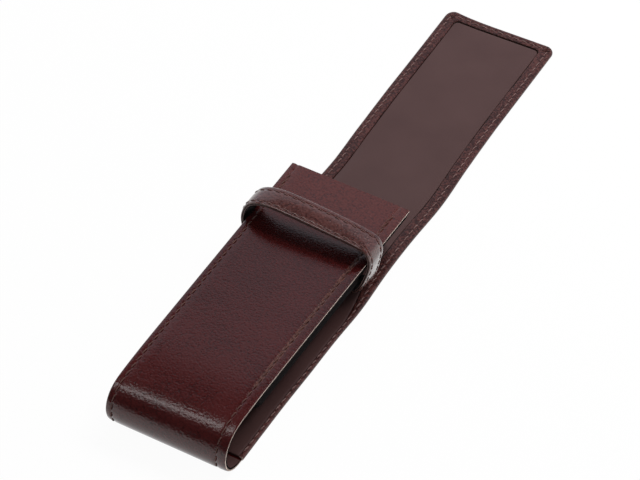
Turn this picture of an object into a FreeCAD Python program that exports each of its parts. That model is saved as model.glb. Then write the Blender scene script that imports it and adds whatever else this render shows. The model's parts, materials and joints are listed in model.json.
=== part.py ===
import FreeCAD, Part

import math
import os

V = FreeCAD.Vector

# A leather case for two pens, lying open on its back.
# One strip of leather makes the back, turns round the bottom end and comes up as the front.
# The strip goes on past the back as a flap, creased twice so that it folds over the pens' ends.
# Units are millimetres. X runs across the case, Y along it towards the flap, Z up.
# Lengths along the case are first measured from the axis of the bottom bend.

# Sizes of the case
case_width = 54.0
sleeve_depth = 24.0
front_length = 134.0
pen_reach = 31.0
flap_tuck = 20.0
flap_corner_radius = 4.5

# Thicknesses of the sheet materials
leather_thickness = 1.0
board_thickness = 0.5
lining_thickness = 0.5
front_lining_thickness = 0.8

# The leather is pared thin and turned over the edges of the back and the flap
hem_width = 5.8
hem_thickness = 0.7
hem_start = 1.0
hem_edge_radius = 0.9

# Gaps between pieces, and how far a cut runs past the face that it opens
glue_gap = 0.05
sheet_gap = 0.2
fold_clearance = 0.05
closing_clearance = 0.1
pocket_clearance = 1.8
cut_margin = 1.0

# The pocket under the front, and the wall between the two pens
pocket_wall = 0.8
pocket_edge = 4.7
pocket_corner_radius = 6.0
pocket_end = 16.0
pocket_ramp_degrees = 45.0
pocket_setback = 2.0
divider_thickness = 0.8
divider_foot_width = 9.0
divider_foot_thickness = 0.5

# The strap, a closed loop round the front that holds the tucked flap
strap_width = 11.0
strap_below_mouth = 26.0
strap_leather_thickness = 1.0
strap_lining_thickness = 0.6
strap_side_room = 2.3
strap_top_room = 5.2
strap_corner_radius = 12.0
strap_joint_gap = 0.4

# The thread
stitch_pitch = 4.0
stitch_gap = 1.0
stitch_width = 0.55
stitch_height = 0.3
seam_inset = 2.6
front_right_seam_inset = 4.2
strap_seam_inset = 1.5
seam_end_room = 4.0
anchor_row_length = 22.0
anchor_inset = 2.5

# Worked out from the sizes above
half_width = case_width / 2
bend_radius = sleeve_depth / 2
hem_top = leather_thickness + board_thickness + hem_thickness
board_top = leather_thickness + board_thickness
lining_top = board_top + lining_thickness
fold_height = leather_thickness / 2
stitch_length = stitch_pitch - stitch_gap
crease_setback = hem_top + stitch_height - fold_height + sheet_gap

# Along the case
strap_end = front_length - strap_below_mouth
strap_start = strap_end - strap_width
bridge_length = sleeve_depth + 2 * stitch_height + closing_clearance + hem_top - 2 * fold_height
first_fold = front_length + pen_reach
second_fold = first_fold + bridge_length
flap_length = first_fold - strap_start + flap_tuck
flap_end = second_fold + flap_length
middle = (flap_end - bend_radius) / 2

# The strap's loop
closed_flap_top = bridge_length + 2 * fold_height
strap_thickness = strap_leather_thickness + glue_gap + strap_lining_thickness
strap_half_width = half_width + strap_side_room + strap_thickness
strap_base = lining_top + glue_gap
strap_crown = closed_flap_top + strap_top_room + strap_thickness

# The pocket hangs from the front and stays clear of the strap below it
front_lining_top = sleeve_depth - leather_thickness - glue_gap
pocket_top = front_lining_top - front_lining_thickness - glue_gap
pocket_bottom = strap_base + strap_thickness + stitch_height + pocket_clearance
pocket_floor = pocket_bottom + pocket_wall
pocket_height = pocket_top - pocket_floor
pocket_width = case_width - 2 * (pocket_edge + pocket_wall)
pocket_mouth = front_length - pocket_setback
pocket_slope = math.radians(pocket_ramp_degrees)


# Plain shapes
def block(x0, x1, y0, y1, z0, z1):
    return Part.makeBox(x1 - x0, y1 - y0, z1 - z0, V(x0, y0, z0))


def rod_across(y, z, radius):
    """A round bar along X, the full width of the case."""
    return Part.makeCylinder(radius, case_width, V(-half_width, y, z), V(1, 0, 0))


def solid_from(wire, direction):
    return Part.Face(wire).extrude(direction)


def line(start, end):
    return Part.LineSegment(start, end).toShape()


def arc(start, through, end):
    return Part.Arc(start, through, end).toShape()


# The strip of leather
def hemmed_outline(y0, y1, inset, corner_radius):
    """The outline of a panel seen from above, with its far corners rounded if a radius is given."""
    x = half_width - inset
    if corner_radius <= 0:
        points = [V(-x, y0, 0), V(x, y0, 0), V(x, y1, 0), V(-x, y1, 0), V(-x, y0, 0)]
        return Part.makePolygon(points)
    r = corner_radius
    c = r * math.sqrt(0.5)
    edges = [
        line(V(-x, y0, 0), V(x, y0, 0)),
        line(V(x, y0, 0), V(x, y1 - r, 0)),
        arc(V(x, y1 - r, 0), V(x - r + c, y1 - r + c, 0), V(x - r, y1, 0)),
        line(V(x - r, y1, 0), V(r - x, y1, 0)),
        arc(V(r - x, y1, 0), V(r - x - c, y1 - r + c, 0), V(-x, y1 - r, 0)),
        line(V(-x, y1 - r, 0), V(-x, y0, 0)),
    ]
    return Part.Wire(edges)


def sheet(y0, y1, inset, corner_radius, z0, z1):
    wire = hemmed_outline(y0, y1, inset, corner_radius)
    wire.translate(V(0, 0, z0))
    return solid_from(wire, V(0, 0, z1 - z0))


def end_inset(inset, hemmed_end):
    """How far a layer stops short of the panel's far end."""
    return inset if hemmed_end else 0.0


def inner_radius(inset, hemmed_end):
    return max(flap_corner_radius - inset, sheet_gap) if hemmed_end else 0.0


def hemmed_leather(y0, y1, hemmed_end=False):
    """A leather panel whose long edges, and far end if asked, are turned over to hold the board."""
    corner = flap_corner_radius if hemmed_end else 0.0
    panel = sheet(y0, y1, 0.0, corner, 0.0, hem_top)
    square_ends = (y0,) if hemmed_end else (y0, y1)
    turned = []
    for edge in panel.Edges:
        level = edge.BoundBox.ZLength < sheet_gap
        square = any(abs(edge.CenterOfMass.y - y) < sheet_gap for y in square_ends)
        if level and not square:
            turned.append(edge)
    panel = panel.makeFillet(min(hem_edge_radius, (hem_top - sheet_gap) / 2), turned)
    for inset, z0, z1 in (
        (leather_thickness, leather_thickness, board_top),
        (hem_width, board_top, hem_top + cut_margin),
    ):
        far = y1 - inset if hemmed_end else y1 + cut_margin
        radius = inner_radius(inset, hemmed_end)
        panel = panel.cut(sheet(y0 - cut_margin, far, inset, radius, z0, z1))
    return panel


def board(y0, y1, hemmed_end=False):
    """The stiffening board inside the turned leather."""
    inset = leather_thickness + sheet_gap
    return sheet(
        y0,
        y1 - end_inset(inset, hemmed_end),
        inset,
        inner_radius(inset, hemmed_end),
        leather_thickness,
        board_top,
    )


def lining(y0, y1, hemmed_end=False):
    """The smooth lining that fills the window between the turned edges."""
    inset = hem_width + sheet_gap
    return sheet(
        y0,
        y1 - end_inset(inset, hemmed_end),
        inset,
        inner_radius(inset, hemmed_end),
        board_top,
        lining_top,
    )


def crease_bead(y_panel, y_fold):
    """Bare leather from a panel to a fold, ending in a round edge on the fold's axis."""
    tongue = block(-half_width, half_width, y_panel, y_fold, 0.0, leather_thickness)
    return tongue.fuse(rod_across(y_fold, fold_height, leather_thickness / 2))


def crease_groove(y_fold, y_panel):
    """Bare leather that starts at a fold, hollowed to turn round the bead on the other side."""
    room = leather_thickness / 2 + fold_clearance
    tongue = block(-half_width, half_width, y_fold, y_panel, 0.0, leather_thickness)
    tongue = tongue.cut(rod_across(y_fold, fold_height, room))
    upper = block(
        -half_width, half_width, y_fold, y_fold + room, fold_height, leather_thickness
    )
    return tongue.cut(upper)


def bend_strip(outer, inner, y_bottom, y_top):
    """A strip that lies along the bottom, turns round the end and comes back along the top.

    outer and inner are its distances from the axis of the bend.
    """
    z = bend_radius
    edges = [
        line(V(0, y_bottom, z - outer), V(0, 0, z - outer)),
        arc(V(0, 0, z - outer), V(0, -outer, z), V(0, 0, z + outer)),
        line(V(0, 0, z + outer), V(0, y_top, z + outer)),
        line(V(0, y_top, z + outer), V(0, y_top, z + inner)),
        line(V(0, y_top, z + inner), V(0, 0, z + inner)),
        arc(V(0, 0, z + inner), V(0, -inner, z), V(0, 0, z - inner)),
        line(V(0, 0, z - inner), V(0, y_bottom, z - inner)),
        line(V(0, y_bottom, z - inner), V(0, y_bottom, z - outer)),
    ]
    wire = Part.Wire(edges)
    wire.translate(V(-half_width, 0, 0))
    return solid_from(wire, V(case_width, 0, 0))


def body_leather():
    front = bend_strip(
        bend_radius, bend_radius - leather_thickness, hem_start, front_length
    )
    panel_end = first_fold - crease_setback
    back = hemmed_leather(hem_start, panel_end)
    return front.fuse(back).fuse(crease_bead(panel_end, first_fold)).removeSplitter()


def bridge_leather():
    y0 = first_fold + crease_setback
    y1 = second_fold - crease_setback
    panel = hemmed_leather(y0, y1)
    panel = panel.fuse(crease_groove(first_fold, y0))
    return panel.fuse(crease_bead(y1, second_fold)).removeSplitter()


def flap_leather():
    y0 = second_fold + crease_setback
    panel = hemmed_leather(y0, flap_end, hemmed_end=True)
    return panel.fuse(crease_groove(second_fold, y0)).removeSplitter()


# Inside the front
def front_lining():
    outer = bend_radius - leather_thickness - glue_gap
    inner = outer - front_lining_thickness
    strip = bend_strip(outer, inner, hem_start, front_length - sheet_gap)
    past_bend = block(-half_width, half_width, 0.0, hem_start, 0.0, bend_radius)
    return strip.cut(past_bend)


def trough(wall):
    """The space inside the pocket, or with a wall its outside, with a sloping closed end."""
    x = pocket_width / 2 + wall
    r = min(pocket_corner_radius, pocket_height / 2) + wall
    c = r * math.sqrt(0.5)
    top = pocket_top
    low = pocket_floor - wall
    edges = [
        line(V(-x, 0, top), V(-x, 0, low + r)),
        arc(V(-x, 0, low + r), V(r - x - c, 0, low + r - c), V(r - x, 0, low)),
        line(V(r - x, 0, low), V(x - r, 0, low)),
        arc(V(x - r, 0, low), V(x - r + c, 0, low + r - c), V(x, 0, low + r)),
        line(V(x, 0, low + r), V(x, 0, top)),
        line(V(x, 0, top), V(-x, 0, top)),
    ]
    bar = solid_from(Part.Wire(edges), V(0, pocket_mouth, 0))
    end = pocket_end - wall / math.sin(pocket_slope)
    ramp_foot = end + (top - low) / math.tan(pocket_slope)
    beyond_end = Part.makePolygon(
        [
            V(-half_width, 0, top),
            V(-half_width, end, top),
            V(-half_width, ramp_foot, low),
            V(-half_width, 0, low),
            V(-half_width, 0, top),
        ]
    )
    return bar.cut(solid_from(beyond_end, V(case_width, 0, 0)))


def pen_pocket():
    """Two edges sewn under the front, with the trough for the pens hanging between them."""
    edges_start = pocket_end - pocket_edge
    edges_low = pocket_top - pocket_wall
    edges = block(-half_width, half_width, edges_start, pocket_mouth, edges_low, pocket_top)
    return edges.fuse(trough(pocket_wall)).cut(trough(0.0)).removeSplitter()


def pen_divider():
    """A wall between the pens, hung from a foot glued under the front."""
    y0 = pocket_end + pocket_height / math.tan(pocket_slope) + sheet_gap
    half = divider_thickness / 2
    foot = divider_foot_width / 2
    wall = block(-half, half, y0, pocket_mouth, pocket_floor + glue_gap, pocket_top)
    foot_low = pocket_top - divider_foot_thickness
    return wall.fuse(block(-foot, foot, y0, pocket_mouth, foot_low, pocket_top)).removeSplitter()


# The strap
def strap_outline(inset):
    """The loop's outline seen along the case, moved inwards by inset."""
    x = strap_half_width - inset
    low = strap_base + inset
    high = strap_crown - inset
    r = min(strap_corner_radius, (strap_crown - strap_base) / 2 - glue_gap) - inset
    c = r * math.sqrt(0.5)
    edges = [
        line(V(r - x, 0, low), V(x - r, 0, low)),
        arc(V(x - r, 0, low), V(x - r + c, 0, low + r - c), V(x, 0, low + r)),
        line(V(x, 0, low + r), V(x, 0, high - r)),
        arc(V(x, 0, high - r), V(x - r + c, 0, high - r + c), V(x - r, 0, high)),
        line(V(x - r, 0, high), V(r - x, 0, high)),
        arc(V(r - x, 0, high), V(r - x - c, 0, high - r + c), V(-x, 0, high - r)),
        line(V(-x, 0, high - r), V(-x, 0, low + r)),
        arc(V(-x, 0, low + r), V(r - x - c, 0, low + r - c), V(r - x, 0, low)),
    ]
    return Part.Wire(edges)


def strap_layer(outer_inset, thickness):
    """One layer of the loop, open by a small gap where its ends meet under the pocket."""
    length = V(0, strap_width, 0)
    ring = solid_from(strap_outline(outer_inset), length)
    ring = ring.cut(solid_from(strap_outline(outer_inset + thickness), length))
    ring.translate(V(0, strap_start, 0))
    half = strap_joint_gap / 2
    joint = block(-half, half, strap_start, strap_end, 0.0, bend_radius)
    return ring.cut(joint)


# The thread
def stitch():
    """One stitch along Y, flat underneath with sloping ends, standing on the XY plane."""
    half = stitch_length / 2
    slope = stitch_height
    side = Part.makePolygon(
        [
            V(-stitch_width / 2, -half, 0),
            V(-stitch_width / 2, half, 0),
            V(-stitch_width / 2, half - slope, stitch_height),
            V(-stitch_width / 2, slope - half, stitch_height),
            V(-stitch_width / 2, -half, 0),
        ]
    )
    return solid_from(side, V(stitch_width, 0, 0))


def stitch_places(start, end):
    """Middles of evenly spaced stitches that fill a run."""
    count = max(1, int((end - start) / stitch_pitch))
    step = (end - start) / count
    return [start + (i + 0.5) * step for i in range(count)]


def seam_along(x, z, start, end):
    """A straight row of stitches along the case."""
    stitches = []
    for y in stitch_places(start, end):
        s = stitch()
        s.translate(V(x, y, z))
        stitches.append(s)
    return Part.makeCompound(stitches)


def seam_across(y, z, start, end):
    """A straight row of stitches across the case."""
    stitches = []
    for x in stitch_places(start, end):
        s = stitch()
        s.rotate(V(0, 0, 0), V(0, 0, 1), 90)
        s.translate(V(x, y, z))
        stitches.append(s)
    return Part.makeCompound(stitches)


def front_seam(x):
    """Stitches down the front and round the bend to where the turned edge starts."""
    row = seam_along(x, sleeve_depth, 0.0, front_length - seam_end_room).Solids
    bend_length = math.pi * bend_radius
    for run in stitch_places(0.0, bend_length - stitch_length):
        s = stitch()
        s.translate(V(x, 0, sleeve_depth))
        s.rotate(V(0, 0, bend_radius), V(1, 0, 0), math.degrees(run / bend_radius))
        row.append(s)
    return Part.makeCompound(row)


def strap_seam(y):
    """Stitches round the outside of the strap, up one side, over the top and down the other."""
    lowest = hem_top + stitch_length
    row = []
    for edge in strap_outline(0.0).Edges:
        for run in stitch_places(0.0, edge.Length):
            t = edge.getParameterByLength(run)
            place = edge.valueAt(t)
            if place.z < lowest:
                continue
            ahead = edge.tangentAt(t)
            s = stitch()
            s.rotate(V(0, 0, 0), V(0, 0, 1), -90)
            turn = math.degrees(math.atan2(-ahead.z, ahead.x)) + 180
            s.rotate(V(0, 0, 0), V(0, 1, 0), turn)
            s.translate(V(place.x, y, place.z))
            row.append(s)
    return Part.makeCompound(row)


def strap_anchor_seam():
    """Two rows on the loop's inside that sew its underside to the lining of the back."""
    z = strap_base + strap_thickness
    half = anchor_row_length / 2
    row = []
    for y in (strap_start + anchor_inset, strap_end - anchor_inset):
        row += seam_across(y, z, -half, -strap_joint_gap).Solids
        row += seam_across(y, z, strap_joint_gap, half).Solids
    return Part.makeCompound(row)


def hem_seam(side, y0, y1):
    return seam_along(side * (half_width - seam_inset), hem_top, y0, y1)


# All the pieces
def build_pieces():
    pieces = {
        "body_leather": body_leather(),
        "front_lining": front_lining(),
        "pen_pocket": pen_pocket(),
        "pen_divider": pen_divider(),
        "strap_leather": strap_layer(0.0, strap_leather_thickness),
        "strap_lining": strap_layer(
            strap_leather_thickness + glue_gap, strap_lining_thickness
        ),
        "strap_upper_seam": strap_seam(strap_end - strap_seam_inset),
        "strap_lower_seam": strap_seam(strap_start + strap_seam_inset),
        "strap_anchor_seam": strap_anchor_seam(),
        "bridge_leather": bridge_leather(),
        "flap_leather": flap_leather(),
    }
    panels = {
        "back": (hem_start, first_fold - crease_setback, False),
        "bridge": (first_fold + crease_setback, second_fold - crease_setback, False),
        "flap": (second_fold + crease_setback, flap_end, True),
    }
    for name, (y0, y1, hemmed_end) in panels.items():
        seam_end = y1 - (hem_width if hemmed_end else stitch_width)
        pieces[name + "_board"] = board(y0, y1, hemmed_end)
        pieces[name + "_lining"] = lining(y0, y1, hemmed_end)
        pieces[name + "_left_seam"] = hem_seam(-1, y0 + stitch_width, seam_end)
        pieces[name + "_right_seam"] = hem_seam(1, y0 + stitch_width, seam_end)
    pieces["flap_end_seam"] = seam_across(
        flap_end - seam_inset,
        hem_top,
        hem_width - half_width,
        half_width - hem_width,
    )
    pieces["front_left_seam"] = front_seam(seam_inset - half_width)
    pieces["front_right_seam"] = front_seam(half_width - front_right_seam_inset)
    return pieces


def main():
    os.makedirs("parts", exist_ok=True)
    for name, shape in build_pieces().items():
        shape.translate(V(0, -middle, 0))
        shape.exportStep(os.path.join("parts", name + ".step"))
        print(
            f"{name}: {len(shape.Solids)} solids, {shape.Volume:.1f} mm3, valid {shape.isValid()}"
        )
    print(f"first fold at y {first_fold - middle:.3f}, z {fold_height:.3f}")
    print(f"second fold at y {second_fold - middle:.3f}, z {fold_height:.3f}")
    print(f"middle {middle:.3f}, pocket bottom {pocket_bottom:.2f}, strap crown {strap_crown:.2f}")


if __name__ == "__main__":
    main()
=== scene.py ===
# %% [markdown]
# # A leather pen case
# The case is one long strip of leather. It makes the back, turns round the bottom end and comes up as
# the front, and past the back it goes on as a flap. A construction model with all pieces at their real
# size is loaded first. Everything below dresses that model: soft pieces are modelled again as meshes,
# and each surface gets a finish made of shader nodes.
# %% Load the construction model
import json
import math

import bmesh
import bpy
import numpy as np
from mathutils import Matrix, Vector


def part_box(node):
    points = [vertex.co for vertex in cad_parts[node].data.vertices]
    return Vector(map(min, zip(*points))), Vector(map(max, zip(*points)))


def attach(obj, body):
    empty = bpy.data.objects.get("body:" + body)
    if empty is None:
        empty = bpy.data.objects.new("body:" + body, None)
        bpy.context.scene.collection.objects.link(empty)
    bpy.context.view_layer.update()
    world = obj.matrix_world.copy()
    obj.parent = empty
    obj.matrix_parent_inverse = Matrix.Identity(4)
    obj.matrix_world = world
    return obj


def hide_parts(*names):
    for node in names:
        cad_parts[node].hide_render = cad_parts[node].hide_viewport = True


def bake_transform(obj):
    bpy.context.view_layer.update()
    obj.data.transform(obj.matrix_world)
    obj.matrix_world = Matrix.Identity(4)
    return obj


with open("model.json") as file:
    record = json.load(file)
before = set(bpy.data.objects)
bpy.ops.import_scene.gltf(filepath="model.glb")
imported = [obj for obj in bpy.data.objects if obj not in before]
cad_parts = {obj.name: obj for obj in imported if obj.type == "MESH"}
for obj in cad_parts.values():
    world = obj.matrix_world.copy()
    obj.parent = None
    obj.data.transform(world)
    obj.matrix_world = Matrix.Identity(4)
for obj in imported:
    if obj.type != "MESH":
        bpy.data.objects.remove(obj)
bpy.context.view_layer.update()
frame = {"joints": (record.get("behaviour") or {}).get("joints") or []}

MM = 0.001

# %% [markdown]
# The camera comes first, because every later choice is judged through it. The picture is taken from
# above and to the right, from far off with a long lens, so straight edges stay nearly parallel. The focal
# length was worked out in pixels of a picture 640 pixels wide, and Blender wants it in millimetres of its
# sensor.
# %% Camera
PICTURE_WIDTH = 640
FOCAL_PIXELS = 2336
SENSOR_WIDTH = 36.0
CAMERA_AZIMUTH = 29.6
CAMERA_ELEVATION = 45.0
CAMERA_PLACE = (0.33661, -0.61854, 0.69632)


def make_camera():
    data = bpy.data.cameras.new("camera")
    data.sensor_width = SENSOR_WIDTH
    data.lens = FOCAL_PIXELS / PICTURE_WIDTH * SENSOR_WIDTH
    camera = bpy.data.objects.new("camera", data)
    camera.location = CAMERA_PLACE
    tilt = math.radians(90 - CAMERA_ELEVATION)
    camera.rotation_euler = (tilt, 0, math.radians(CAMERA_AZIMUTH))
    bpy.context.scene.collection.objects.link(camera)
    bpy.context.scene.camera = camera
    return camera


print("lens in mm:", round(make_camera().data.lens, 1))

# %% [markdown]
# Finishes are built from shader nodes. Wiring nodes by hand takes many lines, so one small class wraps a
# socket and lets sums be written as plain Python: each sum adds the Math node that it needs.
# %% Shader sums


class Wire:
    """One output socket. Sums with numbers or other wires add Math nodes."""

    def __init__(self, tree, socket):
        self.tree = tree
        self.socket = socket

    def math(self, operation, *values):
        node = self.tree.nodes.new("ShaderNodeMath")
        node.operation = operation
        for socket, value in zip(node.inputs, values):
            plug(self.tree, value, socket)
        return Wire(self.tree, node.outputs[0])

    def __add__(self, other):
        return self.math("ADD", self, other)

    def __sub__(self, other):
        return self.math("SUBTRACT", self, other)

    def __rsub__(self, other):
        return self.math("SUBTRACT", other, self)

    def __mul__(self, other):
        return self.math("MULTIPLY", self, other)

    def most(self, other):
        return self.math("MAXIMUM", self, other)

    __radd__ = __add__
    __rmul__ = __mul__


def plug(tree, value, socket):
    """Puts a wire or a plain value into a socket."""
    if isinstance(value, Wire):
        tree.links.new(value.socket, socket)
    else:
        socket.default_value = value


print("sums ready")

# %% [markdown]
# A second class holds one tree of nodes. One method adds any node by its type, its settings and what goes
# into its sockets. The others are what most finishes need: the place on the piece, noise with lumps of a
# known size, and a soft step from one place to another. With them a finish reads like a recipe.
# %% Node recipes


class Recipe:
    """The nodes of one material or of the world."""

    def __init__(self, owner):
        owner.use_nodes = True
        self.tree = owner.node_tree
        self.tree.nodes.clear()

    def add(self, kind, settings=None, inputs=None, output=0):
        """One node: its settings are set first, then its sockets are filled. Gives one output."""
        node = self.tree.nodes.new("ShaderNode" + kind)
        for name, value in (settings or {}).items():
            setattr(node, name, value)
        for name, value in (inputs or {}).items():
            plug(self.tree, value, node.inputs[name])
        return None if output is None else Wire(self.tree, node.outputs[output])

    def mix_colour(self, factor, first, second):
        """A colour between two, by a wire from 0 to 1."""
        settings = {"data_type": "RGBA"}
        return self.add("Mix", settings, {0: factor, 6: first, 7: second}, output=2)

    def place(self):
        """The point on the object, in metres of the construction model."""
        return self.add("TexCoord", output="Object")

    def noise(self, size, detail, where, output=0):
        """Soft noise with lumps of about this size in millimetres."""
        inputs = {"Vector": where, "Scale": 1 / (size * MM), "Detail": detail}
        return self.add("TexNoise", None, inputs, output)

    def stirred(self, where, size, amount):
        """The same place pushed about by noise, so that a regular pattern looks grown."""
        swirl = self.noise(size, 2.0, where, "Color")
        reach = (amount * MM,) * 3
        return self.add("VectorMath", {"operation": "MULTIPLY_ADD"}, {0: swirl, 1: reach, 2: where})

    def rise(self, value, start, end):
        """0 before start and 1 after end, both in millimetres."""
        inputs = {"Value": value, "From Min": start * MM, "From Max": end * MM}
        return self.add("MapRange", {"interpolation_type": "SMOOTHSTEP"}, inputs)

    def show(self, shader, kind="Material"):
        """Ends the tree with its output node, which gives no output itself."""
        self.add("Output" + kind, None, {"Surface": shader}, output=None)


def new_finish(name):
    material = bpy.data.materials.new(name)
    return material, Recipe(material)


print("recipes ready")

# %% [markdown]
# The case lies on a white table in a white studio. Strong light would make them white, but it would wash
# out the leather too. Here the Light Path node makes the table and the surroundings white to the camera
# and in reflections only, and the light that they really give is kept plain. The table still takes a
# little real light, so the shadow under the case stays.
# %% Table and surroundings
FLOOR_SIZE = 6.0
WHITE = (1.0, 1.0, 1.0, 1.0)
FLOOR_COLOUR = (0.92, 0.92, 0.92, 1.0)
FLOOR_GLOW = 0.96
WORLD_LIGHT = 0.32


def seen_directly(recipe):
    """1 for what the camera sees straight, in a mirror or through glass, and 0 for other light."""
    rays = ("Is Camera Ray", "Is Glossy Ray", "Is Transmission Ray")
    camera, glossy, through = (recipe.add("LightPath", output=ray) for ray in rays)
    return camera.most(glossy).most(through)


def flat_sheet(name, corners):
    mesh = bpy.data.meshes.new(name)
    mesh.from_pydata(corners, [], [tuple(range(len(corners)))])
    sheet = bpy.data.objects.new(name, mesh)
    bpy.context.scene.collection.objects.link(sheet)
    return sheet


def make_floor():
    half = FLOOR_SIZE / 2
    floor = flat_sheet("floor", [(-half, -half, 0), (half, -half, 0), (half, half, 0), (-half, half, 0)])
    material, recipe = new_finish("white_table")
    paint = recipe.add("BsdfDiffuse", None, {"Color": FLOOR_COLOUR})
    glow = recipe.add("Emission", None, {"Color": WHITE, "Strength": 1.0})
    glowing = seen_directly(recipe) * FLOOR_GLOW
    recipe.show(recipe.add("MixShader", None, {0: glowing, 1: paint, 2: glow}))
    floor.data.materials.append(material)


def make_world():
    world = bpy.data.worlds.new("studio")
    bpy.context.scene.world = world
    recipe = Recipe(world)
    light = recipe.add("Background", None, {"Color": WHITE, "Strength": WORLD_LIGHT})
    white = recipe.add("Background", None, {"Color": WHITE, "Strength": 1.0})
    recipe.show(recipe.add("MixShader", None, {0: seen_directly(recipe), 1: light, 2: white}), "World")


bpy.context.scene.view_settings.view_transform = "Standard"
make_floor()
make_world()
print("table and surroundings ready")

# %% [markdown]
# Polished leather shows what stands round it, so cards are put up as a photographer would: a cool grey one
# behind the case, and a dark one that is folded over the table and down in front. Only reflections see
# them. They draw the bands of light and dark that make the bend look round. A large lamp behind the case
# lights the leather. A narrow one over its front is seen in reflections only, as the gleam on the bend.
# %% Cards and lamps
COOL = (0.97, 0.96, 1.06, 1.0)
CARD_HALF = 3.5
GREY_CARD = ((1.7, 0.0), (1.3, 2.0))
GREY_LEVEL = 0.62
DARK_CARD = ((1.3, 2.01), (-1.0, 2.6), (-2.4, 1.7), (-1.5, 0.0))
DARK_LEVEL = 0.03
FRONT_LAMP = {"place": (-0.50, -0.32, 1.25), "size": (1.3, 0.2), "watts": 4.6}
BACK_LAMP = {"place": (0.35, 0.75, 1.25), "size": (0.9, 0.6), "watts": 22.0}


def make_card(name, profile, level):
    """A card folded along a profile of (y, z) that only reflections see, as bright as its level."""
    material, recipe = new_finish(name)
    recipe.show(recipe.add("Emission", None, {"Color": COOL, "Strength": level}))
    for number, (near, far) in enumerate(zip(profile, profile[1:])):
        corners = [(-CARD_HALF, *near), (CARD_HALF, *near), (CARD_HALF, *far), (-CARD_HALF, *far)]
        card = flat_sheet(f"{name}_{number}", corners)
        card.visible_camera = False
        card.visible_diffuse = False
        card.visible_shadow = False
        card.visible_transmission = False
        card.data.materials.append(material)


def make_lamp(name, place, size, watts):
    """A soft lamp that hangs flat over the table."""
    data = bpy.data.lights.new(name, "AREA")
    data.shape = "RECTANGLE"
    data.size, data.size_y = size
    data.energy = watts
    lamp = bpy.data.objects.new(name, data)
    lamp.location = place
    bpy.context.scene.collection.objects.link(lamp)
    return lamp


make_card("grey_card", GREY_CARD, GREY_LEVEL)
make_card("dark_card", DARK_CARD, DARK_LEVEL)
front_lamp = make_lamp("front_lamp", **FRONT_LAMP)
front_lamp.visible_diffuse = False
back_lamp = make_lamp("back_lamp", **BACK_LAMP)
back_lamp.visible_glossy = False
print("lamps:", front_lamp.name, back_lamp.name)

# %% [markdown]
# Leather in use doesn't look the same all over. The lower half of the bottom bend is stretched and rubbed
# smooth, and the grain stands out most on the bend's shoulder. The lower front is worn to a warmer tone.
# Near the mouth the front is painted a lighter red: painted light, for the extra light and reflection that
# the upper front catches there. Each of these zones is a mask, made of soft steps along the case and above
# the table. A mask could also be painted by hand, but steps in millimetres are exact and need no picture.
# %% Zones of wear and painted light
RUBBED_ABOVE = (9.0, 18.0)
RUBBED_ALONG = (-136.0, -133.0)
MOUTH_LIGHT_ABOVE = (18.0, 22.0)
MOUTH_LIGHT_ALONG = (-36.0, -10.0)
SHOULDER_ALONG = (-134.0, -125.0)
WORN_ALONG = (-125.0, -50.0)


def wear_and_light_zones(recipe, where):
    """Masks of the rubbed bend, the painted light near the mouth, the bend's shoulder and the worn lower
    front.
    """
    along = recipe.add("SeparateXYZ", None, {0: where}, "Y")
    above = recipe.add("SeparateXYZ", None, {0: where}, "Z")
    rubbed = (1 - recipe.rise(above, *RUBBED_ABOVE)) * (1 - recipe.rise(along, *RUBBED_ALONG))
    # Painted light: near the mouth the front is painted lighter, where it catches more light and
    # reflection.
    zone_mask = recipe.rise(above, *MOUTH_LIGHT_ABOVE) * recipe.rise(along, *MOUTH_LIGHT_ALONG)
    shoulder = 1 - recipe.rise(along, *SHOULDER_ALONG)
    worn = 1 - recipe.rise(along, *WORN_ALONG)
    return rubbed, zone_mask, shoulder, worn


print("the front is painted_lighter from", MOUTH_LIGHT_ALONG[1], "mm to the mouth")

# %% [markdown]
# Leather is a dark red dye under a polished finish. A picture of leather could be wrapped round the case,
# but it would repeat and show its borders, so the finish is made of noise with known sizes. Seen close,
# leather has a pebble grain just under a millimetre across, drawn with cells whose places are pushed
# about. The grain is too small to model, so it feeds a Bump node, and the creases between the pebbles are
# a little rougher. The dye is uneven: it lies deeper in some places, and small specks of it are lighter.
# The weights in the sums below were found one by one.
# %% Leather finish
# Painted light: the lighter red that the front is painted near the mouth.
LEATHER_MOUTH_LIGHT = (0.094, 0.0178, 0.0140, 1)
SWIRL = (1.5, 0.7)
WRINKLE_SIZE = 0.25
PORE_SIZE = 2.0
SPECK_SIZE = 0.95
DYE_SIZE = 24.0
FLAT_GRAIN = 0.4
SHOULDER_GRAIN = 0.4
RUBBED_AWAY = 0.85
WORN_WARMTH = 0.4


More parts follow.
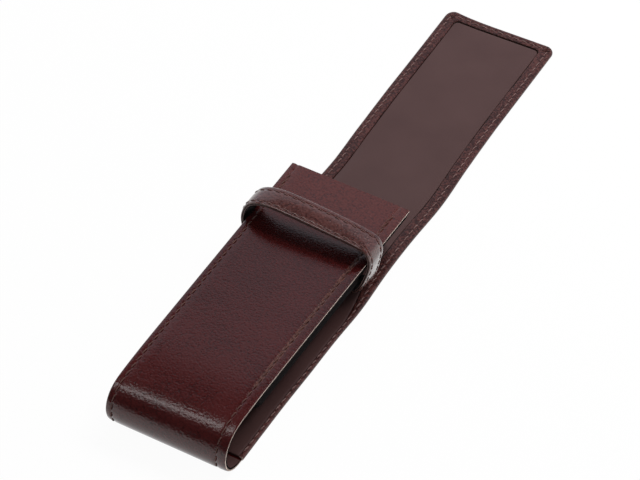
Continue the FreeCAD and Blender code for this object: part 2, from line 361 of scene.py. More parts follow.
def leather_finish(name, deep, warm, shine, pebble, grain_depth, speckle, coat):
    """Leather between two tones of dye. Pebbles and the depth of the grain are in millimetres."""
    material, recipe = new_finish(name)
    where = recipe.place()
    rubbed, zone_mask, shoulder, worn = wear_and_light_zones(recipe, where)
    grown = recipe.stirred(where, *SWIRL)
    cell_inputs = {"Vector": grown, "Scale": 1 / (pebble * MM), "Smoothness": 0.35}
    creases = recipe.add("TexVoronoi", {"feature": "SMOOTH_F1"}, cell_inputs)
    wrinkles = recipe.noise(WRINKLE_SIZE, 2.0, where)
    pores = recipe.noise(PORE_SIZE, 3.0, where)
    specks = recipe.noise(SPECK_SIZE, 1.0, where) - 0.5
    dye = recipe.noise(DYE_SIZE, 3.0, where)
    grain = (1 - RUBBED_AWAY * rubbed) * (FLAT_GRAIN + SHOULDER_GRAIN * shoulder)
    height = (wrinkles * 0.25 + pores * 0.35 - creases * 0.7) * grain
    bump = recipe.add("Bump", None, {"Strength": 0.8, "Distance": grain_depth * MM, "Height": height})
    tone = dye * 1.3 - 0.3 + pores * 0.3 + (0.4 - creases) * 0.9 + specks * speckle + worn * WORN_WARMTH
    colour = recipe.mix_colour(recipe.add("Clamp", None, {"Value": tone}), deep, warm)
    # Painted light: near the mouth the colour is mixed towards a lighter red.
    mouth_light = recipe.add("Clamp", None, {"Value": zone_mask * (1.0 - creases * 0.6 + specks * 1.8)})
    colour = recipe.mix_colour(mouth_light, colour, LEATHER_MOUTH_LIGHT)
    shader = recipe.add(
        "BsdfPrincipled",
        None,
        {
            "Base Color": colour,
            "Roughness": shine + creases * grain * 0.10 + wrinkles * 0.05,
            "Specular IOR Level": 0.5,
            "Coat Weight": coat,
            "Coat Roughness": 0.12,
            "Coat IOR": 1.45,
            "Normal": bump,
        },
    )
    recipe.show(shader)
    return material


print("leather recipe ready")

# %% [markdown]
# Four leathers come from that recipe. The strip's outside is smooth and polished. The strap has a lighter,
# browner dye under a glossy coat. The turned edges of the hems are pared thin, so they are dull and
# speckled. A narrow strip along the front's right seam is rubbed down to its tan fibres.
# %% Four leathers
leather = leather_finish(
    "polished_leather",
    deep=(0.029, 0.0030, 0.0030, 1),
    warm=(0.064, 0.0076, 0.0072, 1),
    shine=0.16,
    pebble=0.95,
    grain_depth=0.24,
    speckle=1.6,
    coat=0.15,
)
strap_leather = leather_finish(
    "strap_leather",
    deep=(0.042, 0.0110, 0.0095, 1),
    warm=(0.125, 0.0450, 0.0390, 1),
    shine=0.20,
    pebble=1.0,
    grain_depth=0.36,
    speckle=1.6,
    coat=0.75,
)
turned_leather = leather_finish(
    "turned_leather",
    deep=(0.026, 0.0045, 0.0036, 1),
    warm=(0.092, 0.0280, 0.0235, 1),
    shine=0.40,
    pebble=0.8,
    grain_depth=0.45,
    speckle=3.8,
    coat=0.0,
)
seam_leather = leather_finish(
    "seam_leather",
    deep=(0.034, 0.0060, 0.0055, 1),
    warm=(0.118, 0.0430, 0.0320, 1),
    shine=0.26,
    pebble=0.8,
    grain_depth=0.60,
    speckle=4.0,
    coat=0.1,
)
print("leathers:", leather.name, strap_leather.name, turned_leather.name, seam_leather.name)

# %% [markdown]
# The other materials are plainer: slow mottling between two tones of a dye, and one fine grain. Each
# could have a tree of its own, but one recipe with a few sizes and tones is enough for all of them.
# %% Plain finish


def plain_finish(name, deep, warm, roughness, grain, depth, specular=0.4, mottle=9.0):
    """A dyed material, with the sizes of its grain and of its mottling in millimetres."""
    material, recipe = new_finish(name)
    where = recipe.place()
    fine = recipe.noise(grain, 3.0, where)
    slow = recipe.noise(mottle, 3.0, where)
    bump = recipe.add("Bump", None, {"Strength": 0.5, "Distance": depth * MM, "Height": fine})
    tone = recipe.add("Clamp", None, {"Value": slow * 1.2 - 0.35 + fine * 0.5})
    shader = recipe.add(
        "BsdfPrincipled",
        None,
        {
            "Base Color": recipe.mix_colour(tone, (*deep, 1), (*warm, 1)),
            "Roughness": roughness + fine * 0.12,
            "Specular IOR Level": specular,
            "Normal": bump,
        },
    )
    recipe.show(shader)
    return material


print("plain recipe ready")

# %% [markdown]
# The lining is a smooth grey-brown leather, so its mottling is wide and its grain shallow. The pocket is
# cloth painted nearly black: painted shade for the gap under the front. The strap's back is painted nearly
# black too, as painted shade inside the loop. The cut edges of the front show raw pale fibres, and those of
# the strap are dyed and painted a little lighter, partly as a painted highlight. The boards are dark fibre.
# %% Lining, cloth, edges and boards
lining = plain_finish(
    "smooth_lining",
    deep=(0.060, 0.0280, 0.0262),
    warm=(0.091, 0.0470, 0.0440),
    roughness=0.42,
    grain=0.5,
    depth=0.02,
    mottle=30.0,
)
# Painted shade: the pocket is painted nearly black, for the deep shadow in the gap under the front.
pocket_shade_black = plain_finish(
    "pocket_shade_black",
    deep=(0.003, 0.002, 0.002),
    warm=(0.006, 0.004, 0.004),
    roughness=0.9,
    grain=0.4,
    depth=0.05,
    specular=0.1,
)
# Painted shade: the strap's back is painted nearly black, for the shade inside the loop.
strap_back = plain_finish(
    "strap_back",
    deep=(0.005, 0.004, 0.004),
    warm=(0.009, 0.007, 0.006),
    roughness=0.6,
    grain=0.4,
    depth=0.03,
)
cut_edge = plain_finish(
    "cut_edge",
    deep=(0.36, 0.26, 0.22),
    warm=(0.80, 0.68, 0.60),
    roughness=0.75,
    grain=0.3,
    depth=0.08,
    specular=0.25,
    mottle=3.0,
)
# Partly a painted highlight: the strap's edges are painted lighter than the strap, for the light line along
# them.
dyed_edge_and_highlight = plain_finish(
    "dyed_edge_and_highlight",
    deep=(0.06, 0.024, 0.021),
    warm=(0.15, 0.08, 0.07),
    roughness=0.42,
    grain=0.3,
    depth=0.04,
    mottle=3.0,
)
board = plain_finish(
    "fibre_board",
    deep=(0.012, 0.008, 0.007),
    warm=(0.022, 0.015, 0.012),
    roughness=0.85,
    grain=0.4,
    depth=0.05,
    specular=0.2,
)
print("finishes:", [m.name for m in (lining, pocket_shade_black, strap_back, cut_edge, dyed_edge_and_highlight, board)])

# %% [markdown]
# The thread is a twisted red-brown yarn. On the hems it has stayed pale, on the front it is rubbed darker,
# and on the strap it has a little shine. The twist itself is modelled later, so the finish only has to
# change its tone from stitch to stitch.
# %% Thread finishes
THREAD_FIBRE = 0.04
THREAD_SPECULAR = 0.3


def thread_finish(name, deep, warm, roughness, grain, mottle):
    return plain_finish(name, deep, warm, roughness, grain, THREAD_FIBRE, THREAD_SPECULAR, mottle)


hem_thread = thread_finish("hem_thread", (0.075, 0.034, 0.031), (0.300, 0.190, 0.178), 0.55, 0.3, 1.2)
front_thread = thread_finish("front_thread", (0.055, 0.020, 0.017), (0.165, 0.082, 0.068), 0.55, 0.2, 2.0)
strap_thread = thread_finish("strap_thread", (0.080, 0.034, 0.030), (0.200, 0.105, 0.095), 0.5, 0.15, 4.0)
print("threads:", [m.name for m in (hem_thread, front_thread, strap_thread)])

# %% [markdown]
# Sizes come from the construction model, in millimetres, so the dressed pieces sit where the plain ones
# are. The few that are written here as numbers are those that the box of a piece can't tell.
# %% Sizes
LINING_GAP = 0.2
STITCH_PITCH = 4.0
CORNER = 4.5


def box_mm(node):
    return [np.array(corner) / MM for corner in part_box(node)]


def middle_mm(node):
    return sum(box_mm(node)) / 2


(_, nose, _), (half_width, _, depth) = box_mm("body_leather")
(_, hem_start, leather_top), (_, _, board_top) = box_mm("back_board")
(_, _, _), (lining_half, _, lining_top) = box_mm("back_lining")
(_, _, _), (_, flap_end, hem_top) = box_mm("flap_leather")
(_, _, _), (_, mouth, _) = box_mm("front_lining")
strap_low, strap_high = box_mm("strap_leather")
strap_middle = (strap_low[1] + strap_high[1]) / 2
folds = {joint["name"]: joint["pos_m"][1] / MM for joint in frame["joints"]}
first_fold, second_fold = folds["bridge_fold"], folds["flap_fold"]
bridge_middle = (first_fold + second_fold) / 2
bend_axis = nose + depth / 2
hem_width = half_width - lining_half - LINING_GAP
seam_x = middle_mm("back_right_seam")[0]
seam_inset = half_width - seam_x
print(f"width {2 * half_width:.1f}, open length {flap_end - nose:.1f}, hem {hem_width:.1f}")

# %% [markdown]
# Meshes are built from grids of points that share their borders. Blender's modifiers could thicken and
# round a plain sheet, but here each face is placed on purpose. A small class collects the grids, welds the
# borders and gives each grid a finish, so a piece ends up as one skin. In a closed skin every edge joins
# two faces, so the edges that don't are counted and printed. Three pieces have a few of them.
# %% Mesh helper
WELD = 0.002
TINY = 0.0005
SHARP_DEGREES = 50


class Skin:
    """Grids of points, in millimetres, that are welded into one mesh."""

    def __init__(self):
        self.points = []
        self.faces = []
        self.finish = []

    def grid(self, points, finish=0):
        rows, columns = points.shape[:2]
        start = len(self.points)
        self.points.extend(points.reshape(-1, 3))
        for r in range(rows - 1):
            for c in range(columns - 1):
                a = start + r * columns + c
                self.faces.append((a, a + 1, a + columns + 1, a + columns))
                self.finish.append(finish)

    def loop(self, points, finish=0):
        start = len(self.points)
        self.points.extend(points)
        self.faces.append(tuple(range(start, start + len(points))))
        self.finish.append(finish)

    def slab(self, top, under):
        """Two grids of one shape, closed along their four borders."""
        self.grid(top)
        self.grid(under)
        for border in (np.s_[0], np.s_[-1], np.s_[:, 0], np.s_[:, -1]):
            self.grid(np.stack([top[border], under[border]]))

    def piece(self, name, finishes, sharp=SHARP_DEGREES):
        mesh = bpy.data.meshes.new(name)
        mesh.from_pydata(np.array(self.points) * MM, [], self.faces)
        mesh.polygons.foreach_set("material_index", self.finish)
        shape = bmesh.new()
        shape.from_mesh(mesh)
        bmesh.ops.remove_doubles(shape, verts=shape.verts, dist=WELD * MM)
        bmesh.ops.dissolve_degenerate(shape, edges=shape.edges, dist=TINY * MM)
        bmesh.ops.recalc_face_normals(shape, faces=shape.faces)
        odd_edges = sum(not edge.is_manifold for edge in shape.edges)
        shape.to_mesh(mesh)
        shape.free()
        mesh.shade_smooth()
        mesh.set_sharp_from_angle(angle=math.radians(sharp))
        for finish in finishes:
            mesh.materials.append(finish)
        item = bpy.data.objects.new(name, mesh)
        bpy.context.scene.collection.objects.link(item)
        print(f"{name}: {len(mesh.vertices)} points, {odd_edges} edges that don't join two faces")
        return item


print("mesh helper ready")

# %% [markdown]
# A few small formulas shape nearly every piece: evenly spaced places, a hump that fades on both sides, a
# share that goes from 0 to 1, and a fall towards an edge. Leather that is sewn dips along the seam, most at
# the needle holes, and an edge turned by hand is never quite straight.
# %% Small formulas
HOLE_SHARE = 0.4
HEM_FURROW = (0.16, 0.5)


def steps(start, end, size):
    """Evenly spaced places from start to end, about size apart."""
    return np.linspace(start, end, max(2, int(round(abs(end - start) / size)) + 1))


def points_from(x, y, z):
    return np.stack(np.broadcast_arrays(x, y, z), axis=-1).astype(float)


def hump(value, middle, reach):
    """1 at the middle, fading to 0 on both sides."""
    return np.exp(-(((value - middle) / reach) ** 2))


def share(value, start, end):
    """0 before start and 1 after end."""
    return np.clip((value - start) / (end - start), 0, 1)


def fall(from_edge, amount, width, power=2):
    """The full amount at an edge, fading to 0 over a width."""
    return amount * np.clip(1 - from_edge / width, 0, 1) ** power


def furrow(offset, run, deep, width):
    """The dip along a seam, deepest at the needle holes, by distance from it and run along it."""
    needle = np.cos(math.pi * run / STITCH_PITCH) ** 2
    return deep * (1 - HOLE_SHARE + HOLE_SHARE * needle) * np.exp(-((offset / width) ** 2))


def ripple(run):
    """Small unevenness of a hand-turned edge, a slow wave and a quick one."""
    return 0.10 * np.sin(run / 6.1) + 0.07 * np.sin(run / 2.3 + 1.0)


print("deepest furrow on a hem:", furrow(0.0, 0.0, *HEM_FURROW), "mm")

# %% [markdown]
# Leather never lies quite flat or straight. The open strip is pulled sideways by about a millimetre where
# it is folded and where the strap holds it, its free corner flares, and it rises off the table in places.
# One function says where a point of the flat strip lies, and every piece of the strip goes through it, so
# leather, lining, boards and stitches stay together.
# %% How the strip lies
SLEEVE_HEM = 1.7
SLEEVE_HEM_BELOW = 15.0
HEM_GAP = 0.4
HEM_SETTLED = 1.6
SWAY_AT_FOLD = 1.25
SWAY_BEFORE_FOLD = 1.5
FOLD_REACH = 20.0
SWAY_AT_STRAP = 0.9
SWAY_BELOW_STRAP = 4.0
STRAP_REACH = 16.0
SWAY_BACK = 0.45
STRAIGHT_FROM = (-120.0, -80.0)
STRAIGHT_TO = (85.0, 60.0)
LEFT_FLARE = 1.45
CORNER_REACH = 2.2
END_REACH = 0.65
REACH_FROM = 0.8
END_RAISE = 0.15
RAISE_FROM = 0.55
BACK_RAISE = 0.5
BACK_RAISE_AT = 32.0
BACK_RAISE_REACH = 16.0


def narrowed(x, y):
    """The hems are turned in less where the sleeve covers them, and the lining is wider there."""
    from_edge = half_width - abs(x)
    inner = hem_width + HEM_SETTLED
    edge = hem_top / 2
    flat_strip = (0, edge, hem_width, hem_width + HEM_GAP, inner)
    under_sleeve = (0, edge, SLEEVE_HEM, SLEEVE_HEM + HEM_GAP, inner)
    at_sleeve = np.interp(from_edge, flat_strip, under_sleeve)
    zone_mask = share(y, strap_high[1], strap_low[1] - SLEEVE_HEM_BELOW) * (from_edge < inner)
    return x + np.sign(x) * (from_edge - at_sleeve) * zone_mask


def lay(x, y, height):
    """Where a point of the flat strip lies on the table."""
    left = share(-x, 0, half_width)
    x = narrowed(x, y)
    along_flap = share(y, second_fold, flap_end)
    sway = SWAY_AT_FOLD * hump(y, first_fold - SWAY_BEFORE_FOLD, FOLD_REACH)
    sway = sway + SWAY_AT_STRAP * hump(y, strap_low[1] - SWAY_BELOW_STRAP, STRAP_REACH)
    drawn = SWAY_BACK * (1 - share(y, *STRAIGHT_FROM) * share(y, *STRAIGHT_TO))
    flare = LEFT_FLARE * left * along_flap**1.5
    reach = (END_REACH + CORNER_REACH * left**3) * share(along_flap, REACH_FROM, 1) ** 2
    raised = END_RAISE * share(along_flap, RAISE_FROM, 1) ** 2
    raised = raised + BACK_RAISE * hump(y, bend_axis + BACK_RAISE_AT, BACK_RAISE_REACH)
    return points_from(x + sway - drawn - flare, y + reach, height + raised)


print("free corner lies at", np.round(lay(-half_width, flap_end, 0.0), 2))

# %% [markdown]
# The edges of the back and of the flap are hems: the leather is pared thin, turned over the board and
# sewn. A bevelled slab would only be round, so a hem is drawn in section as the hook that it is: along the
# outside, round the edge, over the top to the lip, and back under it. That section is carried along the
# edge. Its points are closest together at the seam, where the leather dips.
# %% Section of a hem
SHEET_STEP = 0.5
SECTION_INNER = 7.4
OUTSIDE = (SECTION_INNER, 5.0, 3.6, 3.2, 2.9, 2.6, 2.3, 2.0, 1.6)
HEM_TOP = (1.5, 1.8, 2.1, 2.3, 2.45, 2.6, 2.75, 2.9, 3.1, 3.4, 3.8, 4.6)
LIP = ((0.6, 0.02, 0.7), (0.25, 0.08, 1.0), (0.05, 0.25, 1.0))
EDGE_POINTS = 11
PLEAT_HEIGHT = 0.22
PLEAT_SPAN = (0.6, 4.4)


def hem_section():
    """The hook's points as (distance from the edge, height, share of the edge's unevenness)."""
    radius = hem_top / 2
    outside = [(d, 0.0, 0.0) for d in OUTSIDE]
    turn = np.radians(np.linspace(-90, -270, EDGE_POINTS))
    edge = [(radius + radius * math.cos(a), radius + radius * math.sin(a), 0.0) for a in turn]
    top = [(d, hem_top, 0.0) for d in HEM_TOP]
    lip = [(hem_width - back, hem_top - drop, uneven) for back, drop, uneven in LIP]
    under = [(hem_width, board_top, 1.0), (leather_top, board_top, 0.0)]
    floor = [(leather_top, leather_top, 0.0), (SECTION_INNER, leather_top, 0.0)]
    return np.array(outside + edge + top + lip + under + floor)


def hem_row(section, place, run, pleat):
    """The hook at one place along an edge."""
    d = section[:, 0] + section[:, 2] * ripple(run)
    x, y = place(d)
    dip = furrow(section[:, 0] - seam_inset, run, *HEM_FURROW)
    outside = np.arange(len(section)) < len(OUTSIDE)
    on_top = (section[:, 1] > board_top) & ~outside
    gather = pleat * PLEAT_HEIGHT * np.sin(math.pi * share(section[:, 0], *PLEAT_SPAN))
    z = section[:, 1] + np.where(outside, dip, 0) + np.where(on_top, gather - dip, 0)
    return lay(x, y, z)


def straight_hem(y_start, y_end, side):
    """The hook carried along one long edge."""
    section = hem_section()
    rows = []
    for y in steps(y_start, y_end, SHEET_STEP):
        rows.append(hem_row(section, lambda d: (side * (half_width - d), y + 0 * d), y, 0.0))
    return np.array(rows)


print("hem section of", len(hem_section()), "points")

# %% [markdown]
# The flap's hem runs up one side, round the end and down the other. Three straight hems could be mitred at
# the corners, but the real one is turned in one go, so its section is carried round. The part across the
# end is narrower, so distances from the end are squeezed. Round a corner the leather is too long for the
# turn and gathers in small pleats.
# %% Places round the flap
SQUEEZE_FROM = 3.0
SQUEEZE = 0.57
PLEATS = 7
CORNER_STATIONS = 28


def squeezed(d):
    """The distance from the flap's end for a distance from its sides."""
    return np.where(d < SQUEEZE_FROM, d, SQUEEZE_FROM + (d - SQUEEZE_FROM) * SQUEEZE)


def from_flap_end(d):
    """The y that is this far from the flap's end, as squeezed there."""
    return flap_end - float(squeezed(np.array(d)))


def flap_places(y_start):
    """Places up the flap's left edge and round to the middle of its end, with their pleats."""
    for y in steps(y_start, flap_end - CORNER, SHEET_STEP):
        yield (lambda d, y=y: (d - half_width, np.minimum(y, flap_end - squeezed(d)))), 0.0
    for t in np.linspace(0, 1, CORNER_STATIONS)[1:-1]:
        cos, sin = math.cos(math.pi * (1 - t / 2)), math.sin(math.pi * (1 - t / 2))

        def round_corner(d, cos=cos, sin=sin):
            q = squeezed(d)
            x = np.maximum(CORNER, d) - half_width + np.maximum(CORNER - d, 0) * cos
            return x, flap_end - np.maximum(CORNER, q) + np.maximum(CORNER - q, 0) * sin

        yield round_corner, math.sin(math.pi * PLEATS * t)
    for x in steps(CORNER - half_width, 0, SHEET_STEP):
        yield (lambda d, x=x: (np.maximum(x, d - half_width), flap_end - squeezed(d))), 0.0


print(f"hem across the end: {flap_end - from_flap_end(hem_width):.1f} mm wide")

# %% [markdown]
# The gathered leather also draws the lip into an arc, so the window for the lining has round corners. The
# same formula rounds the lining later, so the two fit. Only the left half is worked out: the right half
# mirrors it. In these corners a few rows of the hem run together, and some edges there join one, three or
# four faces.
# %% Hem round the flap
WINDOW_RADIUS = 2.4
GATHER_SPAN = (3.0, 5.1)


def rounded(x, y, half, end, radius):
    """Points of a window, with its two corners at the flap's end drawn into arcs."""
    across = np.clip(radius - half + abs(x), 0, None)
    along = np.clip(radius - end + y, 0, None)
    reach = np.hypot(across, along)
    pull = 1 - np.maximum(across, along) / np.where(reach > 0, reach, 1)
    pull = np.where((across > 0) & (along > 0), pull, 0)
    return x - np.sign(x) * pull * across, y - pull * along


def gathered(place):
    """A place whose hem is drawn in at the window's corner, where the leather is gathered."""
    lip_x, lip_y = place(np.array(hem_width))
    arc_x, arc_y = rounded(lip_x, lip_y, half_width - hem_width, from_flap_end(hem_width), WINDOW_RADIUS)

    def drawn(d):
        x, y = place(d)
        part = np.where(d < SECTION_INNER, share(d, *GATHER_SPAN), 0)
        return x + part * (arc_x - lip_x), y + part * (arc_y - lip_y)

    return drawn


def flap_hem(y_start):
    """The hook up the left, round the end and down the right, which mirrors the left."""
    section = hem_section()
    places = [(gathered(place), pleat) for place, pleat in flap_places(y_start)]
    mirrored = [(lambda d, p=p: (-p(d)[0], p(d)[1]), pleat) for p, pleat in places[-2::-1]]
    rows, run, last = [], y_start, None
    for place, pleat in places + mirrored:
        here = np.array([float(v) for v in place(np.array(0.0))])
        run += 0.0 if last is None else float(np.linalg.norm(here - last))
        rows.append(hem_row(section, place, run, pleat))
        last = here
    return np.array(rows)


print("stations round the flap:", len(flap_hem(bridge_middle)))

# %% [markdown]
# Plain grids fill the middle of the strip between the hems. On the real case the strip is one piece, and
# it could be one mesh. But it bends at two creases, and a piece here can follow one crease only, so it is
# made in two lengths that meet halfway between them.
# %% Back and flap
MIDDLE_STEP = 4.0
TURN_OVER = len(OUTSIDE) + EDGE_POINTS // 2
STRIP_FINISHES = [leather, turned_leather, cut_edge]


def hem_skin(skin, hem):
    """Outer face in polished leather, turned part in the dull pared leather."""
    skin.grid(hem[:, : TURN_OVER + 1])
    skin.grid(hem[:, TURN_OVER:], 1)


def middle_grids(skin, xs, ys):
    x, y = np.meshgrid(xs, ys)
    skin.grid(lay(x, y, 0.0))
    skin.grid(lay(x, y, leather_top), 1)


def panel_end(skin, left, right, xs, y):
    """Closes a cut end of a panel: hook, floor, hook and outside, in one loop."""
    inner = np.array(xs)[1:-1]
    floor = lay(inner, y, leather_top)
    outside = lay(inner, y, 0.0)
    skin.loop([*left, *floor, *right[::-1], *outside[::-1]], STRIP_FINISHES.index(cut_edge))


def back_strip():
    """The back and half of the bridge, hemmed on both long sides."""
    skin = Skin()
    ends = (hem_start, bridge_middle)
    hems = [straight_hem(*ends, side) for side in (-1, 1)]
    xs = steps(SECTION_INNER - half_width, half_width - SECTION_INNER, MIDDLE_STEP)
    for hem in hems:
        hem_skin(skin, hem)
    middle_grids(skin, xs, steps(*ends, SHEET_STEP))
    for row, y in ((0, ends[0]), (-1, ends[1])):
        panel_end(skin, hems[0][row], hems[1][row], xs, y)
    return skin.piece("back_outer", STRIP_FINISHES)


def flap_strip():
    """The other half of the bridge and the flap, hemmed on three sides."""
    skin = Skin()
    hem = flap_hem(bridge_middle)
    inner = half_width - SECTION_INNER
    left = np.maximum(steps(CORNER - half_width, 0, SHEET_STEP), -inner)
    xs = np.unique(np.concatenate([left, -left]))
    last = from_flap_end(SECTION_INNER)
    ys = np.unique(np.minimum(steps(bridge_middle, flap_end - CORNER, SHEET_STEP), last))
    hem_skin(skin, hem)
    middle_grids(skin, xs, ys)
    panel_end(skin, hem[0], hem[-1], xs, bridge_middle)
    return skin.piece("flap_outer", STRIP_FINISHES)


back_outer = back_strip()
flap_outer = flap_strip()
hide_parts("bridge_leather")
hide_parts("flap_leather")

# %% [markdown]
# Leather doesn't fold on a line: a crease is spread over a few millimetres, and more of it lies on the
# bridge's side. Panels that turn about a hinge would tear there. Each crease below is listed with its two
# bodies and the stretch it spreads over, but no piece is blended across it: each only has its transform
# baked.
# %% Creases
FIRST_CREASE = (-1.5, 5.0)
SECOND_CREASE = (-4.0, 2.5)
FOLDS = {
    "first": ("case", "bridge", first_fold + FIRST_CREASE[0], first_fold + FIRST_CREASE[1]),
    "second": ("bridge", "flap", second_fold + SECOND_CREASE[0], second_fold + SECOND_CREASE[1]),
}


def bend_with(item, fold):
    """Looks up a crease's span and bakes the piece's transform; the piece is not bent or blended there."""
    before, after, start, end = FOLDS[fold]
    start * MM
    end * MM
    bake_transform(item)


bend_with(back_outer, "first")
bend_with(flap_outer, "second")
print("creases at", [round(place, 1) for place in (first_fold, second_fold)])

# %% [markdown]
# The lining fills the window between the hems. It could be painted on the leather as a second colour, but
# it is a thin sheet of its own with softly rounded borders, so a fine dark line shows where it meets the
# hem. Halfway along the bridge its two lengths meet with no border.
# %% Lining
BORDER_ROUND = 0.35
BORDER_STEPS = np.array([0.0, 0.15, 0.4, 1.0])
BORDER_DROP = 0.6
PLATE_STEP = 1.0
LINING_SLACK = 0.04
END_SLACK = 0.45
GLUE = 0.02


def plate(name, x_half, ends, heights, finish, border=BORDER_ROUND, free=(True, True), corner=0.0):
    """A thin sheet that follows the strip, with its upper border rounded over at the free ends."""
    (y0, y1), (z0, z1) = ends, heights
    rim = BORDER_STEPS * border
    middle_x = steps(border - x_half, x_half - border, SHEET_STEP if corner else MIDDLE_STEP)[1:-1]
    middle_y = steps(y0 + border, y1 - border, SHEET_STEP if corner else PLATE_STEP)[1:-1]
    x, y = np.meshgrid(
        np.concatenate([rim - x_half, middle_x, x_half - rim[::-1]]),
        np.concatenate([y0 + rim, middle_y, y1 - rim[::-1]]),
    )
    inside = x_half - abs(x)
    for end, is_free in zip((y0, y1), free):
        inside = np.minimum(inside, abs(y - end)) if is_free else inside
    drop = fall(inside, BORDER_DROP * (z1 - z0), border)
    if corner:
        x, y = rounded(x, y, x_half, y1, corner)
    skin = Skin()
    skin.slab(lay(x, y, z1 - drop), lay(x, y, z0))
    return skin.piece(name, [finish])


lining_heights = (board_top + GLUE, lining_top)
lining_end = from_flap_end(hem_width) - LINING_GAP - END_SLACK
window_half = lining_half - LINING_SLACK
back_inner = plate(
    "back_inner",
    window_half,
    (hem_start, bridge_middle),
    lining_heights,
    lining,
    free=(True, False),
)
flap_inner = plate(
    "flap_inner",
    window_half,
    (bridge_middle, lining_end),
    lining_heights,
    lining,
    free=(False, True),
    corner=WINDOW_RADIUS,
)
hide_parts("back_lining", "bridge_lining")
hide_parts("flap_lining")
bend_with(back_inner, "first")
bend_with(flap_inner, "second")

# %% [markdown]
# Stiff boards lie between the leather and the lining and never show. They stop short of the creases, so
# each one moves with a single body and needs no blending.
# %% Boards
BOARD_MARGIN = 1.0
BOARD_ROUND = 0.1
BOARD_SPANS = {
    "back": (hem_start + 0.3, first_fold - 3.0),
    "bridge": (first_fold + 6.0, second_fold - 5.0),
    "flap": (second_fold + 4.0, flap_end - leather_top - BOARD_MARGIN),
}
BOARD_BODIES = {"back": "case", "bridge": "bridge", "flap": "flap"}
board_half = half_width - leather_top - BOARD_MARGIN
board_heights = (leather_top + GLUE, board_top - GLUE)
for word, ends in BOARD_SPANS.items():
    stiffener = plate(word + "_board_sheet", board_half, ends, board_heights, board, BOARD_ROUND)
    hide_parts(word + "_board")
    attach(stiffener, BOARD_BODIES[word])

# %% [markdown]
# The front is the same strip after it has turned round the bottom end. A plain half circle would look like
# a pipe. A bend in leather starts as a long gentle bow and then tightens, so its line is worked out from
# how far it has turned: slowly at first, then faster, then at a steady rate to the table.
# %% Line of the front
BOW_DEGREES = 4.0
BOW_LENGTH = 26.0
EASE_DEGREES = 30.0
LINE_SAMPLES = 400


def front_line(step=SHEET_STEP):
    """The outer face seen from the side: run, y, z and the turn so far, from the mouth to the hem."""
    bow, ease = math.radians(BOW_DEGREES), math.radians(EASE_DEGREES)
    part = (np.arange(LINE_SAMPLES) + 0.5) / LINE_SAMPLES
    bowed = bow * part**2
    eased = bow + (ease - bow) * part**2
    spread = 2 * (ease - bow)
    drop = np.mean(np.sin(eased)) * spread + 1 + math.cos(ease)
    radius = (depth - np.mean(np.sin(bowed)) * BOW_LENGTH) / drop
    forward = radius * (np.mean(np.cos(eased)) * spread - math.sin(ease))
    centre = nose + radius
    flat = mouth - (centre + forward + np.mean(np.cos(bowed)) * BOW_LENGTH)
    ease_start = flat + BOW_LENGTH
    arc_start = ease_start + spread * radius
    arc = radius * (math.pi - ease)
    run = steps(0, arc_start + arc + hem_start - centre, step)
    turn = bow * share(run, flat, ease_start) ** 2 + (ease - bow) * share(run, ease_start, arc_start) ** 2
    turn = turn + np.clip((run - arc_start) / radius, 0, math.pi - ease)
    middle_turn = (turn[1:] + turn[:-1]) / 2
    gap = np.diff(run)
    y = mouth - np.concatenate([[0], np.cumsum(np.cos(middle_turn) * gap)])
    z = depth - np.concatenate([[0], np.cumsum(np.sin(middle_turn) * gap)])
    return run, y, z, turn


line = front_line()
print(f"front and bend: {line[0][-1]:.1f} mm of leather")

# %% [markdown]
# The sleeve has been stretched in use: it is wider at its mouth, stands a little to the left and droops on
# the right, and its bend leans. A lattice could bend all its pieces at once, but one function does the
# same with sizes that can be read, and the front, its lining, the pocket and the seams all go through it.
# %% Shape of the sleeve
MOUTH_HALF = 28.0
BEND_HALF = 26.6
SLEEVE_SHIFT = 0.6
MOUTH_REACH = 0.35
BEND_LEAN = 1.2
LEAN_ABOVE = (4.0, 22.0)
LEFT_RISE = -0.1
RIGHT_DROOP = 1.5
DROOP_ABOVE = 6.0


def sleeve(points):
    """Where a point of the straight sleeve is after use."""
    x, y, z = np.moveaxis(points, -1, 0)
    up = share(y, bend_axis, mouth)
    wide = (BEND_HALF + (MOUTH_HALF - BEND_HALF) * up) / half_width
    to_right = (x / half_width + 1) / 2
    tilt = LEFT_RISE - (LEFT_RISE + RIGHT_DROOP) * to_right
    lean = BEND_LEAN * x / half_width * share(z, *LEAN_ABOVE) * (1 - up) ** 6
    sunk = tilt * up**2 * share(z, DROOP_ABOVE, depth)
    return points_from(x * wide - SLEEVE_SHIFT, y + lean + MOUTH_REACH * up**4, z + sunk)


def front_point(x, line, below):
    """Points at a depth below the outer face, for each place along the line and each x."""
    _, y, z, turn = (part[:, None] for part in line)
    return sleeve(points_from(x[None, :], y + np.sin(turn) * below, z - np.cos(turn) * below))


print(f"sleeve {2 * MOUTH_HALF:.1f} mm wide at the mouth and {2 * BEND_HALF:.1f} mm at the bend")

# %% [markdown]
# The long edges of the front are cut, not turned, and show pale fibres. They are sewn, so the leather
# dips along the seams and rolls down to the cut. Along the right seam a narrow strip is rubbed paler as
# far as the bend. The lining follows inside. A Solidify modifier could thicken a sheet, but the cut edges
# swell a little and have a finish of their own, so their faces are built too. The swelling leaves a slit
# of a twentieth of a millimetre at each of the four corners. Columns of points stand close together at
# the cuts and at the seams.
# %% Front and its lining
AT_CUT = (0.0, 0.06, 0.18, 0.4, 0.8, 1.2)
AT_SEAM = (-0.9, -0.6, -0.35, -0.15, 0.0, 0.15, 0.35, 0.6, 0.9)
RIM_END = 6.5
MIDDLE_FROM = 8
MIDDLE_COLUMNS = 11
CUT_ROUND = (0.16, 0.4)
CUT_ROLL = (0.30, 2.2)
CUT_SWELL = 0.05
FRONT_FURROW = (0.40, 0.60)
SEAM_STRIP = 0.9
RUB_FROM = 18.0
LAYER_GAP = 0.05
FRONT_LINING = 0.8
FRONT_LINING_INSET = 0.1
